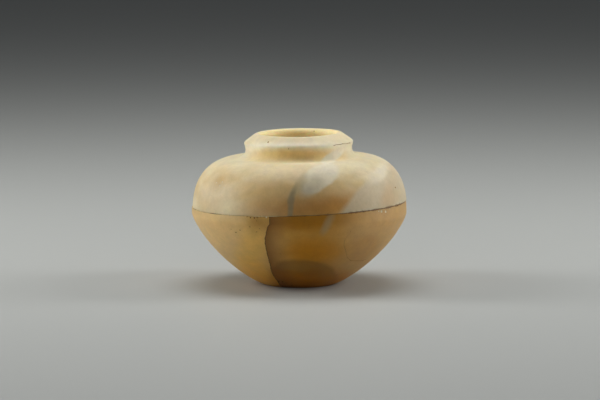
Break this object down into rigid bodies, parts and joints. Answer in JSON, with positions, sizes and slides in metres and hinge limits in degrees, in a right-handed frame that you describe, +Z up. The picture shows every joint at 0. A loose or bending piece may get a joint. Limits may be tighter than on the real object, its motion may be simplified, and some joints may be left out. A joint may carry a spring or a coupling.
{
  "type": "collared bowl",
  "caption": "Squat hollow stone bowl with a collared mouth and a small flat base, ground as an upper and a lower half joined a little above the belly; holds ointment, oil or small goods.",
  "frame": {"origin": "middle of the flat base, on the surface that the bowl stands on", "axes": "+Z up along the bowl's axis, +X to the right and -Y towards the viewer as the picture shows it, with the break in front on the left"},
  "size_m": [0.1306, 0.1306, 0.0925],
  "materials": {
    "pale_travertine": "satin",
    "amber_travertine": "satin"
  },
  "bodies": {
    "root": {"upper_half": "pale_travertine", "lower_half": "amber_travertine"}
  },
  "joints": []
}
